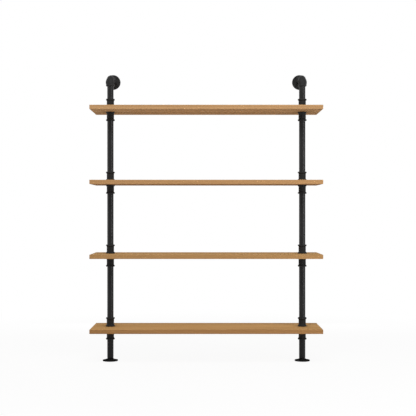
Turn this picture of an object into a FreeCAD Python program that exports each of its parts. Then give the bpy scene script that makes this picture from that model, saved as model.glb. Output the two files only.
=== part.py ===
import FreeCAD, Part
import os
import Sketcher

# Pipe shelving unit: four boards clamped between screwed pipe fittings on two uprights.
# Millimetres, +Z up, +X to the right, front towards -Y. The origin is on the floor, midway
# between the uprights and midway through the depth of the boards. The wall is the plane of
# the boards' rear edges.

SHELF_COUNT = 4
NEAR = 1e-4  # how closely an edge must match the radius and height it is looked up by

# name, value, meaning
DRIVING_SIZES = (
    ("board_width", 1200, "board, end to end along X"),
    ("board_depth", 300, "board, front edge to wall"),
    ("board_thickness", 22, "board"),
    ("board_overhang", 93, "upright's axis to the nearer end of the board"),
    ("board_edge_round", 1.5, "radius on every edge of the board"),
    ("board_hole_clearance", 0.5, "radial room round the pipe in the board"),
    ("pipe_diameter", 33.4, "outside of the pipe"),
    ("pipe_wall", 3.4, "wall of the pipe"),
    ("thread_length", 18, "threaded end of a pipe, all of it inside a coupling or elbow"),
    ("thread_taper", 0.0625, "taper of the thread, on diameter"),
    ("foot_pipe_length", 130, "pipe between the floor flange and the lowest coupling"),
    ("riser_length", 304.8, "pipe between two shelves"),
    ("top_pipe_length", 103, "pipe between the highest coupling and the elbow"),
    ("fitting_wall", 2.4, "coupling or elbow, metal outside the pipe"),
    ("bead_rise", 4, "bead above the body of a coupling or elbow"),
    ("bead_length", 10, "bead along the axis, with its shoulder"),
    ("bead_bevel", 2, "bevel on the outer corner of a bead"),
    ("bead_shoulder", 3.5, "slope from a bead to the body"),
    ("coupling_length", 47, "coupling, face to face"),
    ("elbow_leg", 19, "straight part of each leg of the elbow"),
    ("elbow_inner_radius", 1.9, "inside corner of the elbow"),
    ("flange_diameter", 80, "floor and wall flange"),
    ("flange_thickness", 5, "plate of the flange"),
    ("flange_height", 11, "flange, back to top of its boss"),
    ("flange_boss_wall", 3.8, "boss of the flange, metal outside the pipe"),
    ("flange_edge_round", 1.2, "radius on the rim of the plate and on the boss"),
    ("flange_root_round", 3, "radius between plate and boss"),
    ("flange_end_gap", 1, "pipe's end to the back of the flange"),
    ("screw_count", 4, "screw holes in a flange"),
    ("screw_diameter", 5.5, "screw hole"),
    ("screw_head_diameter", 10.5, "mouth of the countersink"),
    ("screw_head_angle", 90, "countersink, degrees"),
)

# Derived sizes and places, as expressions on the sheet.
PIPE_RADIUS = "(Sizes.pipe_diameter / 2)"
PIPE_BORE_RADIUS = "(Sizes.pipe_diameter / 2 - Sizes.pipe_wall)"
THREAD_END_RADIUS = "(Sizes.pipe_diameter - Sizes.thread_length * Sizes.thread_taper) / 2"
FLANGE_GRIP = "(Sizes.flange_height - Sizes.flange_end_gap)"
FLANGE_MOUTH_RADIUS = f"({THREAD_END_RADIUS} + {FLANGE_GRIP} * Sizes.thread_taper / 2)"
BODY_RADIUS = "(Sizes.pipe_diameter / 2 + Sizes.fitting_wall)"
BEAD_RADIUS = f"({BODY_RADIUS} + Sizes.bead_rise)"
ELBOW_BEND = f"({BODY_RADIUS} + Sizes.elbow_inner_radius)"
ELBOW_REACH = f"({ELBOW_BEND} + Sizes.elbow_leg)"
BOSS_RADIUS = "(Sizes.pipe_diameter / 2 + Sizes.flange_boss_wall)"
SCREW_CIRCLE_RADIUS = f"((Sizes.flange_diameter / 2 + {BOSS_RADIUS}) / 2)"
UPRIGHT_X = "(Sizes.board_width / 2 - Sizes.board_overhang)"
WALL_Y = "(Sizes.board_depth / 2)"
LOWEST_BOARD = (
    "(Sizes.flange_end_gap + Sizes.foot_pipe_length - Sizes.thread_length"
    " + Sizes.coupling_length)"
)
SHELF_PITCH = (
    "(Sizes.board_thickness + 2 * Sizes.coupling_length + Sizes.riser_length"
    " - 2 * Sizes.thread_length)"
)
WALL_PIPE_LENGTH = f"({WALL_Y} - Sizes.flange_end_gap - {ELBOW_REACH} + Sizes.thread_length)"

# How a piece that is modelled along +Z is turned for its place.
UPRIGHT = FreeCAD.Rotation()
BACKWARDS = FreeCAD.Rotation(FreeCAD.Vector(1, 0, 0), -90)  # +Z points at the wall
FORWARDS = FreeCAD.Rotation(FreeCAD.Vector(1, 0, 0), 90)  # +Z points at the viewer
DOWNWARDS = FreeCAD.Rotation(FreeCAD.Vector(0, 1, 0), 180)  # +Z points at the floor

doc = FreeCAD.newDocument("PipeShelvingUnit")
sizes = doc.addObject("Spreadsheet::Sheet", "Sizes")
sub_parts = []


def fill_sheet():
    """One row for each driving size: its name, its value and what it measures."""
    for row, (name, number, meaning) in enumerate(DRIVING_SIZES, start=1):
        sizes.set(f"A{row}", name)
        sizes.set(f"B{row}", str(number))
        sizes.set(f"C{row}", meaning)
        sizes.setAlias(f"B{row}", name)
    doc.recompute()


def value(expression):
    """The number that an expression on the sheet has now."""
    return float(sizes.evalExpression(expression))


def shelf_underside(level):
    """Height of the underside of a board, where level 0 is the lowest."""
    return f"({LOWEST_BOARD} + {level} * {SHELF_PITCH})"


# ---------------------------------------------------------------- sketches and features


def new_sub_part(label, turn, x, y, z):
    """A body with its label, and its place bound to the sheet."""
    body = doc.addObject("PartDesign::Body", label)
    body.Label = label
    body.Placement = FreeCAD.Placement(FreeCAD.Vector(value(x), value(y), value(z)), turn)
    body.setExpression("Placement.Base.x", x)
    body.setExpression("Placement.Base.y", y)
    body.setExpression("Placement.Base.z", z)
    sub_parts.append(body)
    return body


def new_sketch(body, name, plane, offset=None):
    """A sketch on an origin plane of its body, raised by an offset along the plane's normal."""
    sketch = body.newObject("Sketcher::SketchObject", f"{body.Name}_{name}")
    for datum in body.Origin.OriginFeatures:
        if datum.Role == plane:
            sketch.AttachmentSupport = (datum, "")
    sketch.MapMode = "FlatFace"
    if offset:
        sketch.setExpression("AttachmentOffset.Base.z", offset)
    return sketch


def pin_point(sketch, geometry, point, axis, expression):
    """Fixes one coordinate of a point: on the axis if it is 0, else at a bound distance from it."""
    if expression == "0":
        line = -1 if axis == "Y" else -2
        sketch.addConstraint(Sketcher.Constraint("PointOnObject", geometry, point, line))
        return
    number = value(expression)
    index = sketch.addConstraint(
        Sketcher.Constraint(f"Distance{axis}", -1, 1, geometry, point, number)
    )
    sketch.setExpression(f"Constraints[{index}]", expression)


def draw_outline(sketch, corners):
    """A closed outline of straight edges through corners, each given as two expressions."""
    points = [FreeCAD.Vector(value(x), value(y), 0) for x, y in corners]
    for start, end in zip(points, points[1:] + points[:1]):
        sketch.addGeometry(Part.LineSegment(start, end), False)
    for number in range(len(corners)):
        following = (number + 1) % len(corners)
        sketch.addConstraint(Sketcher.Constraint("Coincident", number, 2, following, 1))
    for number, (x, y) in enumerate(corners):
        pin_point(sketch, number, 1, "X", x)
        pin_point(sketch, number, 1, "Y", y)


def draw_circle(sketch, radius, x="0", y="0"):
    """A circle of a bound radius about a bound centre."""
    centre = FreeCAD.Vector(value(x), value(y), 0)
    circle = sketch.addGeometry(Part.Circle(centre, FreeCAD.Vector(0, 0, 1), value(radius)), False)
    index = sketch.addConstraint(Sketcher.Constraint("Radius", circle, value(radius)))
    sketch.setExpression(f"Constraints[{index}]", radius)
    pin_point(sketch, circle, 3, "X", x)
    pin_point(sketch, circle, 3, "Y", y)


def turn(body, name, kind, plane, corners):
    """A Revolution or Groove of an outline about the second axis of its plane."""
    outline = new_sketch(body, f"{name}_outline", plane)
    draw_outline(outline, corners)
    feature = body.newObject(f"PartDesign::{kind}", f"{body.Name}_{name}")
    feature.Profile = outline
    feature.ReferenceAxis = (outline, ["V_Axis"])
    feature.Angle = 360
    body.Tip = feature
    return feature


def sweep(body, name, kind, path, radius, start):
    """An AdditivePipe or SubtractivePipe of a circle that starts at a height on Z."""
    section = new_sketch(body, f"{name}_section", "XY_Plane", offset=start)
    draw_circle(section, radius)
    feature = body.newObject(f"PartDesign::{kind}", f"{body.Name}_{name}")
    feature.Profile = section
    feature.Spine = path
    body.Tip = feature
    return feature


def ring_edges(feature, radius, height):
    """Names of the circular edges about Z with this radius at this height."""
    names = []
    for number, edge in enumerate(feature.Shape.Edges, start=1):
        if not isinstance(edge.Curve, Part.Circle):
            continue
        same_radius = abs(edge.Curve.Radius - value(radius)) < NEAR
        if same_radius and abs(edge.Curve.Center.z - value(height)) < NEAR:
            names.append(f"Edge{number}")
    return names


def round_edges(body, name, base, edges, radius):
    """A Fillet of a bound radius on named edges of the last feature."""
    if not edges:
        raise RuntimeError(f"{body.Label}: no edge found for {name}")
    fillet = body.newObject("PartDesign::Fillet", f"{body.Name}_{name}")
    fillet.Base = (base, edges)
    fillet.setExpression("Radius", radius)
    body.Tip = fillet
    return fillet


# ---------------------------------------------------------------- sub-parts


def add_shelf(label, level):
    """A board with eased edges and a hole for each upright; its front left corner is its origin."""
    body = new_sub_part(
        label, UPRIGHT, "-Sizes.board_width / 2", "-Sizes.board_depth / 2", shelf_underside(level)
    )
    outline = new_sketch(body, "outline", "XY_Plane")
    width = "Sizes.board_width"
    depth = "Sizes.board_depth"
    draw_outline(outline, [("0", "0"), (width, "0"), (width, depth), ("0", depth)])
    board = body.newObject("PartDesign::Pad", f"{label}_board")
    board.Profile = outline
    board.setExpression("Length", "Sizes.board_thickness")
    body.Tip = board
    doc.recompute()
    every_edge = [f"Edge{number}" for number in range(1, len(board.Shape.Edges) + 1)]
    eased = round_edges(body, "eased_edges", board, every_edge, "Sizes.board_edge_round")
    doc.recompute()
    centres = new_sketch(body, "hole_centres", "XY_Plane")
    hole_radius = f"{PIPE_RADIUS} + Sizes.board_hole_clearance"
    draw_circle(centres, hole_radius, "Sizes.board_overhang", "Sizes.board_depth / 2")
    far_side = "Sizes.board_width - Sizes.board_overhang"
    draw_circle(centres, hole_radius, far_side, "Sizes.board_depth / 2")
    holes = body.newObject("PartDesign::Pocket", f"{label}_pipe_holes")
    holes.Profile = centres
    holes.Type = "ThroughAll"
    holes.Reversed = True
    body.Tip = holes
    doc.recompute()
    require_cut(label, eased, holes)


def add_pipe(label, length, turned, x, y, z):
    """A length of pipe with a tapered thread on each end, along +Z from its lower end."""
    body = new_sub_part(label, turned, x, y, z)
    corners = [
        (PIPE_BORE_RADIUS, "0"),
        (THREAD_END_RADIUS, "0"),
        (PIPE_RADIUS, "Sizes.thread_length"),
        (PIPE_RADIUS, f"{length} - Sizes.thread_length"),
        (THREAD_END_RADIUS, length),
        (PIPE_BORE_RADIUS, length),
    ]
    turn(body, "tube", "Revolution", "XZ_Plane", corners)


def add_coupling(label, x, z):
    """A beaded coupling, tapped with a tapered thread from both ends."""
    body = new_sub_part(label, UPRIGHT, x, "0", z)
    full = "Sizes.coupling_length"
    thread = "Sizes.thread_length"
    corners = [
        (PIPE_RADIUS, "0"),
        (f"{BEAD_RADIUS} - Sizes.bead_bevel", "0"),
        (BEAD_RADIUS, "Sizes.bead_bevel"),
        (BEAD_RADIUS, "Sizes.bead_length - Sizes.bead_shoulder"),
        (BODY_RADIUS, "Sizes.bead_length"),
        (BODY_RADIUS, f"{full} - Sizes.bead_length"),
        (BEAD_RADIUS, f"{full} - Sizes.bead_length + Sizes.bead_shoulder"),
        (BEAD_RADIUS, f"{full} - Sizes.bead_bevel"),
        (f"{BEAD_RADIUS} - Sizes.bead_bevel", full),
        (PIPE_RADIUS, full),
        (THREAD_END_RADIUS, f"{full} - {thread}"),
        (THREAD_END_RADIUS, thread),
    ]
    turn(body, "banded_sleeve", "Revolution", "XZ_Plane", corners)


def draw_elbow_path(sketch):
    """Up the axis of one leg, round the bend and out along the other, in the YZ plane."""
    reach = value(ELBOW_REACH)
    bend = value(ELBOW_BEND)
    corner = FreeCAD.Vector(bend, bend, 0)
    first_leg = Part.LineSegment(FreeCAD.Vector(0, reach, 0), FreeCAD.Vector(0, bend, 0))
    quarter = Part.ArcOfCircle(
        Part.Circle(corner, FreeCAD.Vector(0, 0, 1), bend),
        FreeCAD.Units.Quantity("180 deg").getValueAs("rad").Value,
        FreeCAD.Units.Quantity("270 deg").getValueAs("rad").Value,
    )
    second_leg = Part.LineSegment(FreeCAD.Vector(bend, 0, 0), FreeCAD.Vector(reach, 0, 0))
    up, bow, out = sketch.addGeometry([first_leg, quarter, second_leg], False)
    sketch.addConstraint(Sketcher.Constraint("Tangent", up, 2, bow, 1))
    sketch.addConstraint(Sketcher.Constraint("Tangent", bow, 2, out, 1))
    pin_point(sketch, up, 1, "X", "0")
    pin_point(sketch, up, 1, "Y", ELBOW_REACH)
    pin_point(sketch, up, 2, "X", "0")
    pin_point(sketch, up, 2, "Y", ELBOW_BEND)
    pin_point(sketch, out, 2, "X", ELBOW_REACH)
    pin_point(sketch, out, 2, "Y", "0")


def add_elbow(label, x, z):
    """A beaded 90 degree elbow, one leg down on the upright and one back to the wall.

    It is modelled about the crossing of its two axes, with its legs along +Z and +Y.
    """
    body = new_sub_part(label, DOWNWARDS, x, "0", z)
    path = new_sketch(body, "path", "YZ_Plane")
    draw_elbow_path(path)
    sweep(body, "bent_body", "AdditivePipe", path, BODY_RADIUS, ELBOW_REACH)
    reach = ELBOW_REACH
    bead = [
        ("0", f"{reach} - Sizes.bead_length"),
        (BODY_RADIUS, f"{reach} - Sizes.bead_length"),
        (BEAD_RADIUS, f"{reach} - Sizes.bead_length + Sizes.bead_shoulder"),
        (BEAD_RADIUS, f"{reach} - Sizes.bead_bevel"),
        (f"{BEAD_RADIUS} - Sizes.bead_bevel", reach),
        ("0", reach),
    ]
    turn(body, "bead_of_leg", "Revolution", "XZ_Plane", bead)
    solid = turn(body, "bead_of_rear_leg", "Revolution", "XY_Plane", bead)
    doc.recompute()
    bored = sweep(body, "bore", "SubtractivePipe", path, THREAD_END_RADIUS, reach)
    doc.recompute()
    require_cut(label, solid, bored)
    socket = [
        ("0", f"{reach} - Sizes.thread_length"),
        (THREAD_END_RADIUS, f"{reach} - Sizes.thread_length"),
        (PIPE_RADIUS, reach),
        ("0", reach),
    ]
    tapped = turn(body, "socket_of_leg", "Groove", "XZ_Plane", socket)
    doc.recompute()
    require_cut(label, bored, tapped)
    finished = turn(body, "socket_of_rear_leg", "Groove", "XY_Plane", socket)
    doc.recompute()
    require_cut(label, tapped, finished)


def add_flange(label, turned, x, y, z):
    """A round flange: a plate with a low tapped boss and countersunk screw holes."""
    body = new_sub_part(label, turned, x, y, z)
    rim = "(Sizes.flange_diameter / 2)"
    corners = [
        (THREAD_END_RADIUS, "0"),
        (rim, "0"),
        (rim, "Sizes.flange_thickness"),
        (BOSS_RADIUS, "Sizes.flange_thickness"),
        (BOSS_RADIUS, "Sizes.flange_height"),
        (FLANGE_MOUTH_RADIUS, "Sizes.flange_height"),
        (THREAD_END_RADIUS, "Sizes.flange_end_gap"),
    ]
    plate = turn(body, "plate_and_boss", "Revolution", "XZ_Plane", corners)
    doc.recompute()
    root = ring_edges(plate, BOSS_RADIUS, "Sizes.flange_thickness")
    rooted = round_edges(body, "root_round", plate, root, "Sizes.flange_root_round")
    doc.recompute()
    edges = ring_edges(rooted, rim, "Sizes.flange_thickness")
    edges += ring_edges(rooted, BOSS_RADIUS, "Sizes.flange_height")
    rounded = round_edges(body, "edge_round", rooted, edges, "Sizes.flange_edge_round")
    doc.recompute()
    centre = new_sketch(body, "screw_centre", "XY_Plane", offset="Sizes.flange_thickness")
    diagonal = f"{SCREW_CIRCLE_RADIUS} * cos(45 deg)"
    draw_circle(centre, "Sizes.screw_diameter / 2", diagonal, diagonal)
    doc.recompute()
    hole = body.newObject("PartDesign::Hole", f"{label}_screw_hole")
    hole.Profile = centre
    body.Tip = hole
    doc.recompute()
    hole.ThreadType = "None"
    hole.DepthType = "ThroughAll"
    hole.HoleCutType = "Countersink"
    hole.setExpression("Diameter", "Sizes.screw_diameter")
    hole.setExpression("HoleCutDiameter", "Sizes.screw_head_diameter")
    hole.setExpression("HoleCutCountersinkAngle", "Sizes.screw_head_angle")
    doc.recompute()
    require_cut(label, rounded, hole)
    circle = body.newObject("PartDesign::PolarPattern", f"{label}_screw_circle")
    circle.Originals = [hole]
    circle.Axis = (centre, ["N_Axis"])
    circle.Angle = 360
    circle.setExpression("Occurrences", "Sizes.screw_count")
    body.Tip = circle
    doc.recompute()
    require_cut(label, hole, circle)


def require_cut(label, before, after):
    """Stops the build if a cut took nothing away."""
    if after.Shape.isNull() or after.Shape.Volume > before.Shape.Volume - NEAR:
        raise RuntimeError(f"{label}: {after.Name} cuts nothing")


# ---------------------------------------------------------------- the assembly


def add_upright(side, x):
    """One upright from its floor flange to its wall flange."""
    thread = "Sizes.thread_length"
    coupling = "Sizes.coupling_length"
    add_flange(f"{side}_floor_flange", UPRIGHT, x, "0", "0")
    foot_end = "Sizes.flange_end_gap"
    add_pipe(f"{side}_foot_pipe", "Sizes.foot_pipe_length", UPRIGHT, x, "0", foot_end)
    for level in range(SHELF_COUNT):
        shelf = level + 1
        underside = shelf_underside(level)
        top = f"({underside} + Sizes.board_thickness)"
        add_coupling(f"{side}_coupling_under_shelf_{shelf}", x, f"{underside} - {coupling}")
        add_coupling(f"{side}_coupling_over_shelf_{shelf}", x, top)
        through = f"(Sizes.board_thickness + 2 * {thread})"
        nipple_end = f"{underside} - {thread}"
        add_pipe(f"{side}_shelf_nipple_{shelf}", through, UPRIGHT, x, "0", nipple_end)
        next_end = f"({top} + {coupling} - {thread})"
        if shelf < SHELF_COUNT:
            name = f"{side}_riser_pipe_{shelf}_to_{shelf + 1}"
            add_pipe(name, "Sizes.riser_length", UPRIGHT, x, "0", next_end)
        else:
            add_pipe(f"{side}_top_pipe", "Sizes.top_pipe_length", UPRIGHT, x, "0", next_end)
    arm_height = f"({next_end} + Sizes.top_pipe_length - {thread} + {ELBOW_REACH})"
    add_elbow(f"{side}_elbow", x, arm_height)
    arm_start = f"({ELBOW_REACH} - {thread})"
    add_pipe(f"{side}_wall_pipe", WALL_PIPE_LENGTH, BACKWARDS, x, arm_start, arm_height)
    add_flange(f"{side}_wall_flange", FORWARDS, x, WALL_Y, arm_height)


def check_document():
    """Stops the build if any object failed or any sub-part isn't one valid solid."""
    for item in doc.Objects:
        if {"Invalid", "Error"} & set(item.State):
            raise RuntimeError(f"{item.Label} failed: {item.State}")
    for body in sub_parts:
        shape = body.Shape
        if shape.isNull() or not shape.isValid() or len(shape.Solids) != 1:
            raise RuntimeError(f"{body.Label} is not one valid solid")


def write_parts():
    """One STEP file for each sub-part, named after its label."""
    os.makedirs("parts", exist_ok=True)
    for body in sub_parts:
        body.Shape.exportStep(os.path.join("parts", f"{body.Label}.step"))


fill_sheet()
for shelf_level in range(SHELF_COUNT):
    add_shelf(f"shelf_{shelf_level + 1}", shelf_level)
add_upright("left", f"-{UPRIGHT_X}")
add_upright("right", UPRIGHT_X)
doc.recompute()
check_document()
write_parts()
print(f"{len(sub_parts)} sub-parts written")
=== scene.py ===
import math
from itertools import product

import bmesh
import bpy
from bpy.props import FloatProperty, FloatVectorProperty, IntProperty, PointerProperty
from mathutils import Matrix, Vector, noise


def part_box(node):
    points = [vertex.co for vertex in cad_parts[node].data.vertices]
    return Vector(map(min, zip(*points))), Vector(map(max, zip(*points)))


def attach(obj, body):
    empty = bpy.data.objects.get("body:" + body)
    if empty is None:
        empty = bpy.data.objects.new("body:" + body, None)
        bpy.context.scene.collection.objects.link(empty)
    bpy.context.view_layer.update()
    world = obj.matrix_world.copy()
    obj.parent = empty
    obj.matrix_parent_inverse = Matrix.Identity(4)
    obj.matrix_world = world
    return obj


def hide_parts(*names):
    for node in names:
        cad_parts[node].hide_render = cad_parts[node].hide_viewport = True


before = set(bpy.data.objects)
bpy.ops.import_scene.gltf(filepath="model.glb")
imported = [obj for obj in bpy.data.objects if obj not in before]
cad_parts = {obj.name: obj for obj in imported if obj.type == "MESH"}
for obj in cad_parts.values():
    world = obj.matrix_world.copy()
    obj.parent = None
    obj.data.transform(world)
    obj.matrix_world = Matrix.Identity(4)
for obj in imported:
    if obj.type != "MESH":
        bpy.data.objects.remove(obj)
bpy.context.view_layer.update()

bl_info = {
    "name": "Pipe Shelving Unit",
    "version": (1, 0, 0),
    "blender": (4, 5, 0),
    "location": "3D View > Sidebar > Shelving",
    "description": "Fittings, threads, timber and stage of a pipe shelving unit",
    "category": "Add Mesh",
}

SIDES = ("left", "right")
SHELVES = (1, 2, 3, 4)
MM = 0.001
INCH = 25.4 * MM
WHITE = (1.0, 1.0, 1.0, 1.0)

# sizes that the frame's boxes don't give
BEAD_RISE = 4.0 * MM
THREADS_PER_INCH = 11.5
SCREW_CIRCLE = 30.25 * MM
COUNTERSINK_RADIUS = 5.25 * MM
SHARP_ANGLE = math.radians(34)

# each board's tint: the lower ones are a little warmer and darker, which is painted shade
BOARD_SHADE_TINTS = {
    1: (0.935, 0.855, 0.735),
    2: (0.92, 0.88, 0.75),
    3: (0.97, 0.925, 0.855),
    4: (1.0, 1.0, 1.0),
}
# the number that picks each board's figure
BOARD_PLANKS = {1: 20.0, 2: 5.0, 3: 7.0, 4: 9.0}
# how much painted light each board's top gets, against the setting
BOARD_TOP_LIGHT = {1: 0.85, 2: 0.58, 3: 0.6, 4: 0.7}
# painted shade: how light each board's underside is, against its front
BOARD_UNDERSIDE_SHADE = {1: 0.9, 2: 0.85, 3: 0.78, 4: 1.0}

PORE_COLOUR = (0.16, 0.075, 0.03, 1.0)
GLUE_COLOUR = (0.13, 0.065, 0.03, 1.0)
# colour of the painted shade round the fittings
CONTACT_SHADE_COLOUR = (0.030, 0.019, 0.012, 1.0)
HANDLED_COLOUR = (0.70, 0.44, 0.24, 1.0)
END_GRAIN_TINT = (0.55, 0.47, 0.40, 1.0)

# Black coats. colour names a setting, rub is the most that an edge is rubbed, and sheen is a share
# of the specular level. grain and peel have waves per metre and depth, and bump has strength and
# distance in metres.
PIPE_COAT = {
    "colour": "pipe", "rub": 0.08, "rough": 0.24, "sheen": 1.0,
    "grain": (1500.0, 0.35), "peel": (330.0, 0.65), "bump": (0.35, 0.00008),
}
CAST_COAT = {
    "colour": "fitting", "rub": 0.14, "rough": 0.5, "sheen": 0.6,
    "grain": (760.0, 0.6), "peel": (170.0, 0.8), "bump": (0.55, 0.0003),
}
SCREW_COAT = {
    "colour": "pipe", "rub": 0.20, "rough": 0.60, "sheen": 0.2,
    "grain": (1700.0, 0.3), "peel": (500.0, 0.4), "bump": (0.3, 0.0001),
}
FLANGE_COATS = {
    "floor": CAST_COAT | {"rough": 0.85, "sheen": 0.0},
    "wall": CAST_COAT | {"sheen": 0.4},
}

# name, place, target, width and height, and the setting that holds the power
LAMPS = (
    ("key_lamp", (-0.1, -1.9, 2.8), (0.0, 0.0, 1.0), (2.4, 0.8), "key_power"),
    ("left_lamp", (-3.1, -0.7, 0.95), (0.0, 0.0, 0.9), (1.8, 2.0), "fill_power"),
    ("right_strip", (2.1, -1.9, 0.95), (0.0, 0.0, 0.9), (0.12, 1.9), "strip_power"),
    ("low_lamp", (0.0, 1.8, 0.25), (0.0, 0.0, 1.0), (2.4, 0.3), "low_power"),
)
FLOOR_HALF = 14.0
FLOOR_LEVEL = -0.0002
CAMERA_SHIFT = (0.0041, 0.0082)


# ------------------------ places, read from the frame


def box_of(node):
    """Lowest and highest corner of a CAD node."""
    low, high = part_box(node)
    return Vector(low), Vector(high)


def middle_of(node):
    """Middle of a CAD node's box."""
    low, high = box_of(node)
    return (low + high) / 2


def half_width_of(node):
    """Half of a CAD node's size along X."""
    low, high = box_of(node)
    return (high.x - low.x) / 2


def seat_of(node, at_wall):
    """Matrix whose +Z runs up a CAD node from the floor, or forward through it from the wall."""
    low, high = box_of(node)
    middle = middle_of(node)
    if at_wall:
        forward = Matrix.Rotation(math.pi / 2, 4, "X")
        return Matrix.Translation((middle.x, high.y, middle.z)) @ forward
    return Matrix.Translation((middle.x, middle.y, low.z))


BOARD_LOW, BOARD_HIGH = box_of("shelf_1")
BOARD_HALF = (BOARD_HIGH - BOARD_LOW) / 2
UPRIGHT_X = abs(middle_of("right_riser_pipe_1_to_2").x)
PIPE_RADIUS = half_width_of("right_riser_pipe_1_to_2")
BEAD_RADIUS = half_width_of("right_coupling_over_shelf_1")
FLANGE_RADIUS = half_width_of("right_floor_flange")
ARM_HEIGHT = middle_of("right_wall_pipe").z
ELBOW_LOW, ELBOW_HIGH = box_of("right_elbow")


# ------------------------ settings


def float_setting(name, about, default, low, high, **kind):
    """A number, with its unit or subtype where it has one."""
    return FloatProperty(name=name, description=about, default=default, min=low, max=high, **kind)


def metres(*facts):
    """A length."""
    return float_setting(*facts, precision=5, unit="LENGTH")


def fraction(*facts):
    """A share from 0 to 1."""
    return float_setting(*facts, 0.0, 1.0, subtype="FACTOR")


def brightness(*facts):
    """Strength of a light that fills the room."""
    return float_setting(*facts, 0.0, 2.0)


def watts(*facts):
    """A lamp's power."""
    return float_setting(*facts, 0.0, 2000.0, unit="POWER")


def whole_number(name, about, default, low, high):
    """A number of facets or rings."""
    return IntProperty(name=name, description=about, default=default, min=low, max=high)


def rgb(name, about, default):
    """A colour."""
    return FloatVectorProperty(
        name=name, description=about, default=default, min=0.0, max=1.0, size=3, subtype="COLOR",
    )


class CouplingSettings(bpy.types.PropertyGroup):
    """Shape of the beaded ends, shared by the couplings and the elbows."""

    body_radius: metres(
        "Body Radius", "Outside of the fitting between its beads",
        BEAD_RADIUS - BEAD_RISE, 0.018, 0.024,
    )
    bead_length: metres(
        "Bead Length", "Bead and its shoulder, along the axis", 9.4 * MM, 0.004, 0.014,
    )
    bead_crest: metres(
        "Bead Crest", "From the end face to where the bead falls to its shoulder",
        6.8 * MM, 0.003, 0.01,
    )
    bead_corner: metres("Bead Corner", "Radius of the bead's outer corner", 1.4 * MM, 0.0005, 0.004)
    bead_crown: metres(
        "Bead Crown", "How far the crest's ends lie below its middle", 0.25 * MM, 0.0, 0.001,
    )
    mouth_bevel: metres(
        "Mouth Bevel", "Bevel that leads the pipe into its thread", 1.3 * MM, 0.0002, 0.003,
    )
    seam_height: metres("Seam Height", "Moulding seam above the body", 0.28 * MM, 0.0, 0.001)
    seam_width: metres("Seam Width", "Half width of the moulding seam", 0.7 * MM, 0.0002, 0.003)
    unevenness: metres(
        "Unevenness", "How far the cast skin strays from its true shape", 0.07 * MM, 0.0, 0.0005,
    )
    steps_around: whole_number("Steps Around", "Facets round a fitting", 96, 24, 256)


class ElbowSettings(bpy.types.PropertyGroup):
    """Shape of the bend between the two legs of an elbow."""

    leg: metres("Leg", "Straight part of each leg", 19.0 * MM, 0.008, 0.03)
    steps_of_bend: whole_number("Steps of Bend", "Rings along the bend", 28, 8, 96)


class ThreadSettings(bpy.types.PropertyGroup):
    """Taper thread that shows beside the flanges."""

    pitch: metres("Pitch", "Crest to crest", INCH / THREADS_PER_INCH, 0.001, 0.004)
    depth: metres("Depth", "Crest to root where the thread is full", 1.45 * MM, 0.0005, 0.002)
    length: metres(
        "Length", "Threaded end of the pipe, and the depth of a socket", 18.0 * MM, 0.008, 0.03,
    )
    run_out: metres("Run-out", "Where the thread fades into the pipe", 6.5 * MM, 0.002, 0.012)
    cut_length: metres(
        "Cut Length", "Length of thread that is cut in full detail, by the flange",
        9.5 * MM, 0.004, 0.018,
    )
    taper: float_setting("Taper", "Change of diameter over length", 0.0625, 0.0, 0.1)
    wall: metres("Pipe Wall", "Thickness of the pipe", 3.4 * MM, 0.002, 0.006)


class ScrewSettings(bpy.types.PropertyGroup):
    """Countersunk screws in the flanges."""

    circle: metres(
        "Screw Circle", "Radius of the circle that the screws stand on", SCREW_CIRCLE, 0.02, 0.04,
    )
    head: metres("Head Radius", "Radius of the head at its face", 5.08 * MM, 0.003, 0.007)
    shank: metres("Shank Radius", "Radius of the shank below the head", 2.5 * MM, 0.001, 0.004)
    below: metres(
        "Head Below Plate", "How far the head's face lies below the plate's", 0.15 * MM, 0.0, 0.001,
    )
    plate: metres("Plate", "Thickness of the flange's plate", 5.0 * MM, 0.003, 0.01)
    slot_reach: metres(
        "Recess Reach", "Centre of the cross recess to the end of an arm", 2.7 * MM, 0.001, 0.004,
    )
    slot_half: metres(
        "Recess Half Width", "Half of the width of an arm of the cross", 0.55 * MM, 0.0002, 0.001,
    )
    slot_depth: metres("Recess Depth", "Depth of the cross recess", 1.9 * MM, 0.0005, 0.003)


class TimberSettings(bpy.types.PropertyGroup):
    """Look of the boards."""

    pale: rgb("Pale Wood", "Early wood", (0.445, 0.262, 0.125))
    dark: rgb("Dark Wood", "Late wood", (0.262, 0.136, 0.054))
    ring_spacing: metres("Ring Spacing", "One year's growth", 4.2 * MM, 0.001, 0.02)
    # painted light: the tops of the boards are painted lighter, as light from above would make them
    top_bleach: fraction(
        "Top Bleach", "How much lighter the top of a board has become in use", 0.45,
    )
    stave_width: metres(
        "Stave Width", "Width of the staves glued up into a board", 62.0 * MM, 0.02, 0.3,
    )


class CoatSettings(bpy.types.PropertyGroup):
    """Look of the black coat."""

    pipe: rgb("Pipe", "Coat on the pipes", (0.0170, 0.0170, 0.0173))
    fitting: rgb("Fitting", "Coat on the cast fittings", (0.0200, 0.0200, 0.0203))
    rubbed: rgb("Rubbed", "Coat where handling has polished it", (0.055, 0.054, 0.053))
    sheen_level: fraction("Specular Level", "Strength of the coat's reflections", 0.11)


class StageSettings(bpy.types.PropertyGroup):
    """Floor, lamps and camera."""

    floor: rgb("Floor", "Colour of the floor", (0.80, 0.80, 0.80))
    key_power: watts("Key Lamp", "Large soft lamp, high in front", 60.5)
    fill_power: watts("Left Lamp", "Tall soft lamp on the left", 21.5)
    strip_power: watts("Right Strip", "Tall narrow lamp in front on the right", 34.0)
    low_power: watts("Low Lamp", "Low lamp behind, for the undersides of the boards", 16.5)
    ambient: brightness("Room Light", "Even light from all round", 0.09)
    rear_glow: brightness("Rear Glow", "Soft light that the room adds from behind", 0.7)
    camera_distance: metres("Camera Distance", "Camera to the middle of the unit", 5.0, 1.0, 20.0)
    camera_height: metres("Camera Height", "Camera above the floor", 0.789, 0.0, 5.0)
    focal_length: float_setting(
        "Focal Length", "Lens, on a 36 mm wide sensor", 81.84, 20.0, 300.0, unit="CAMERA",
    )


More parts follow.
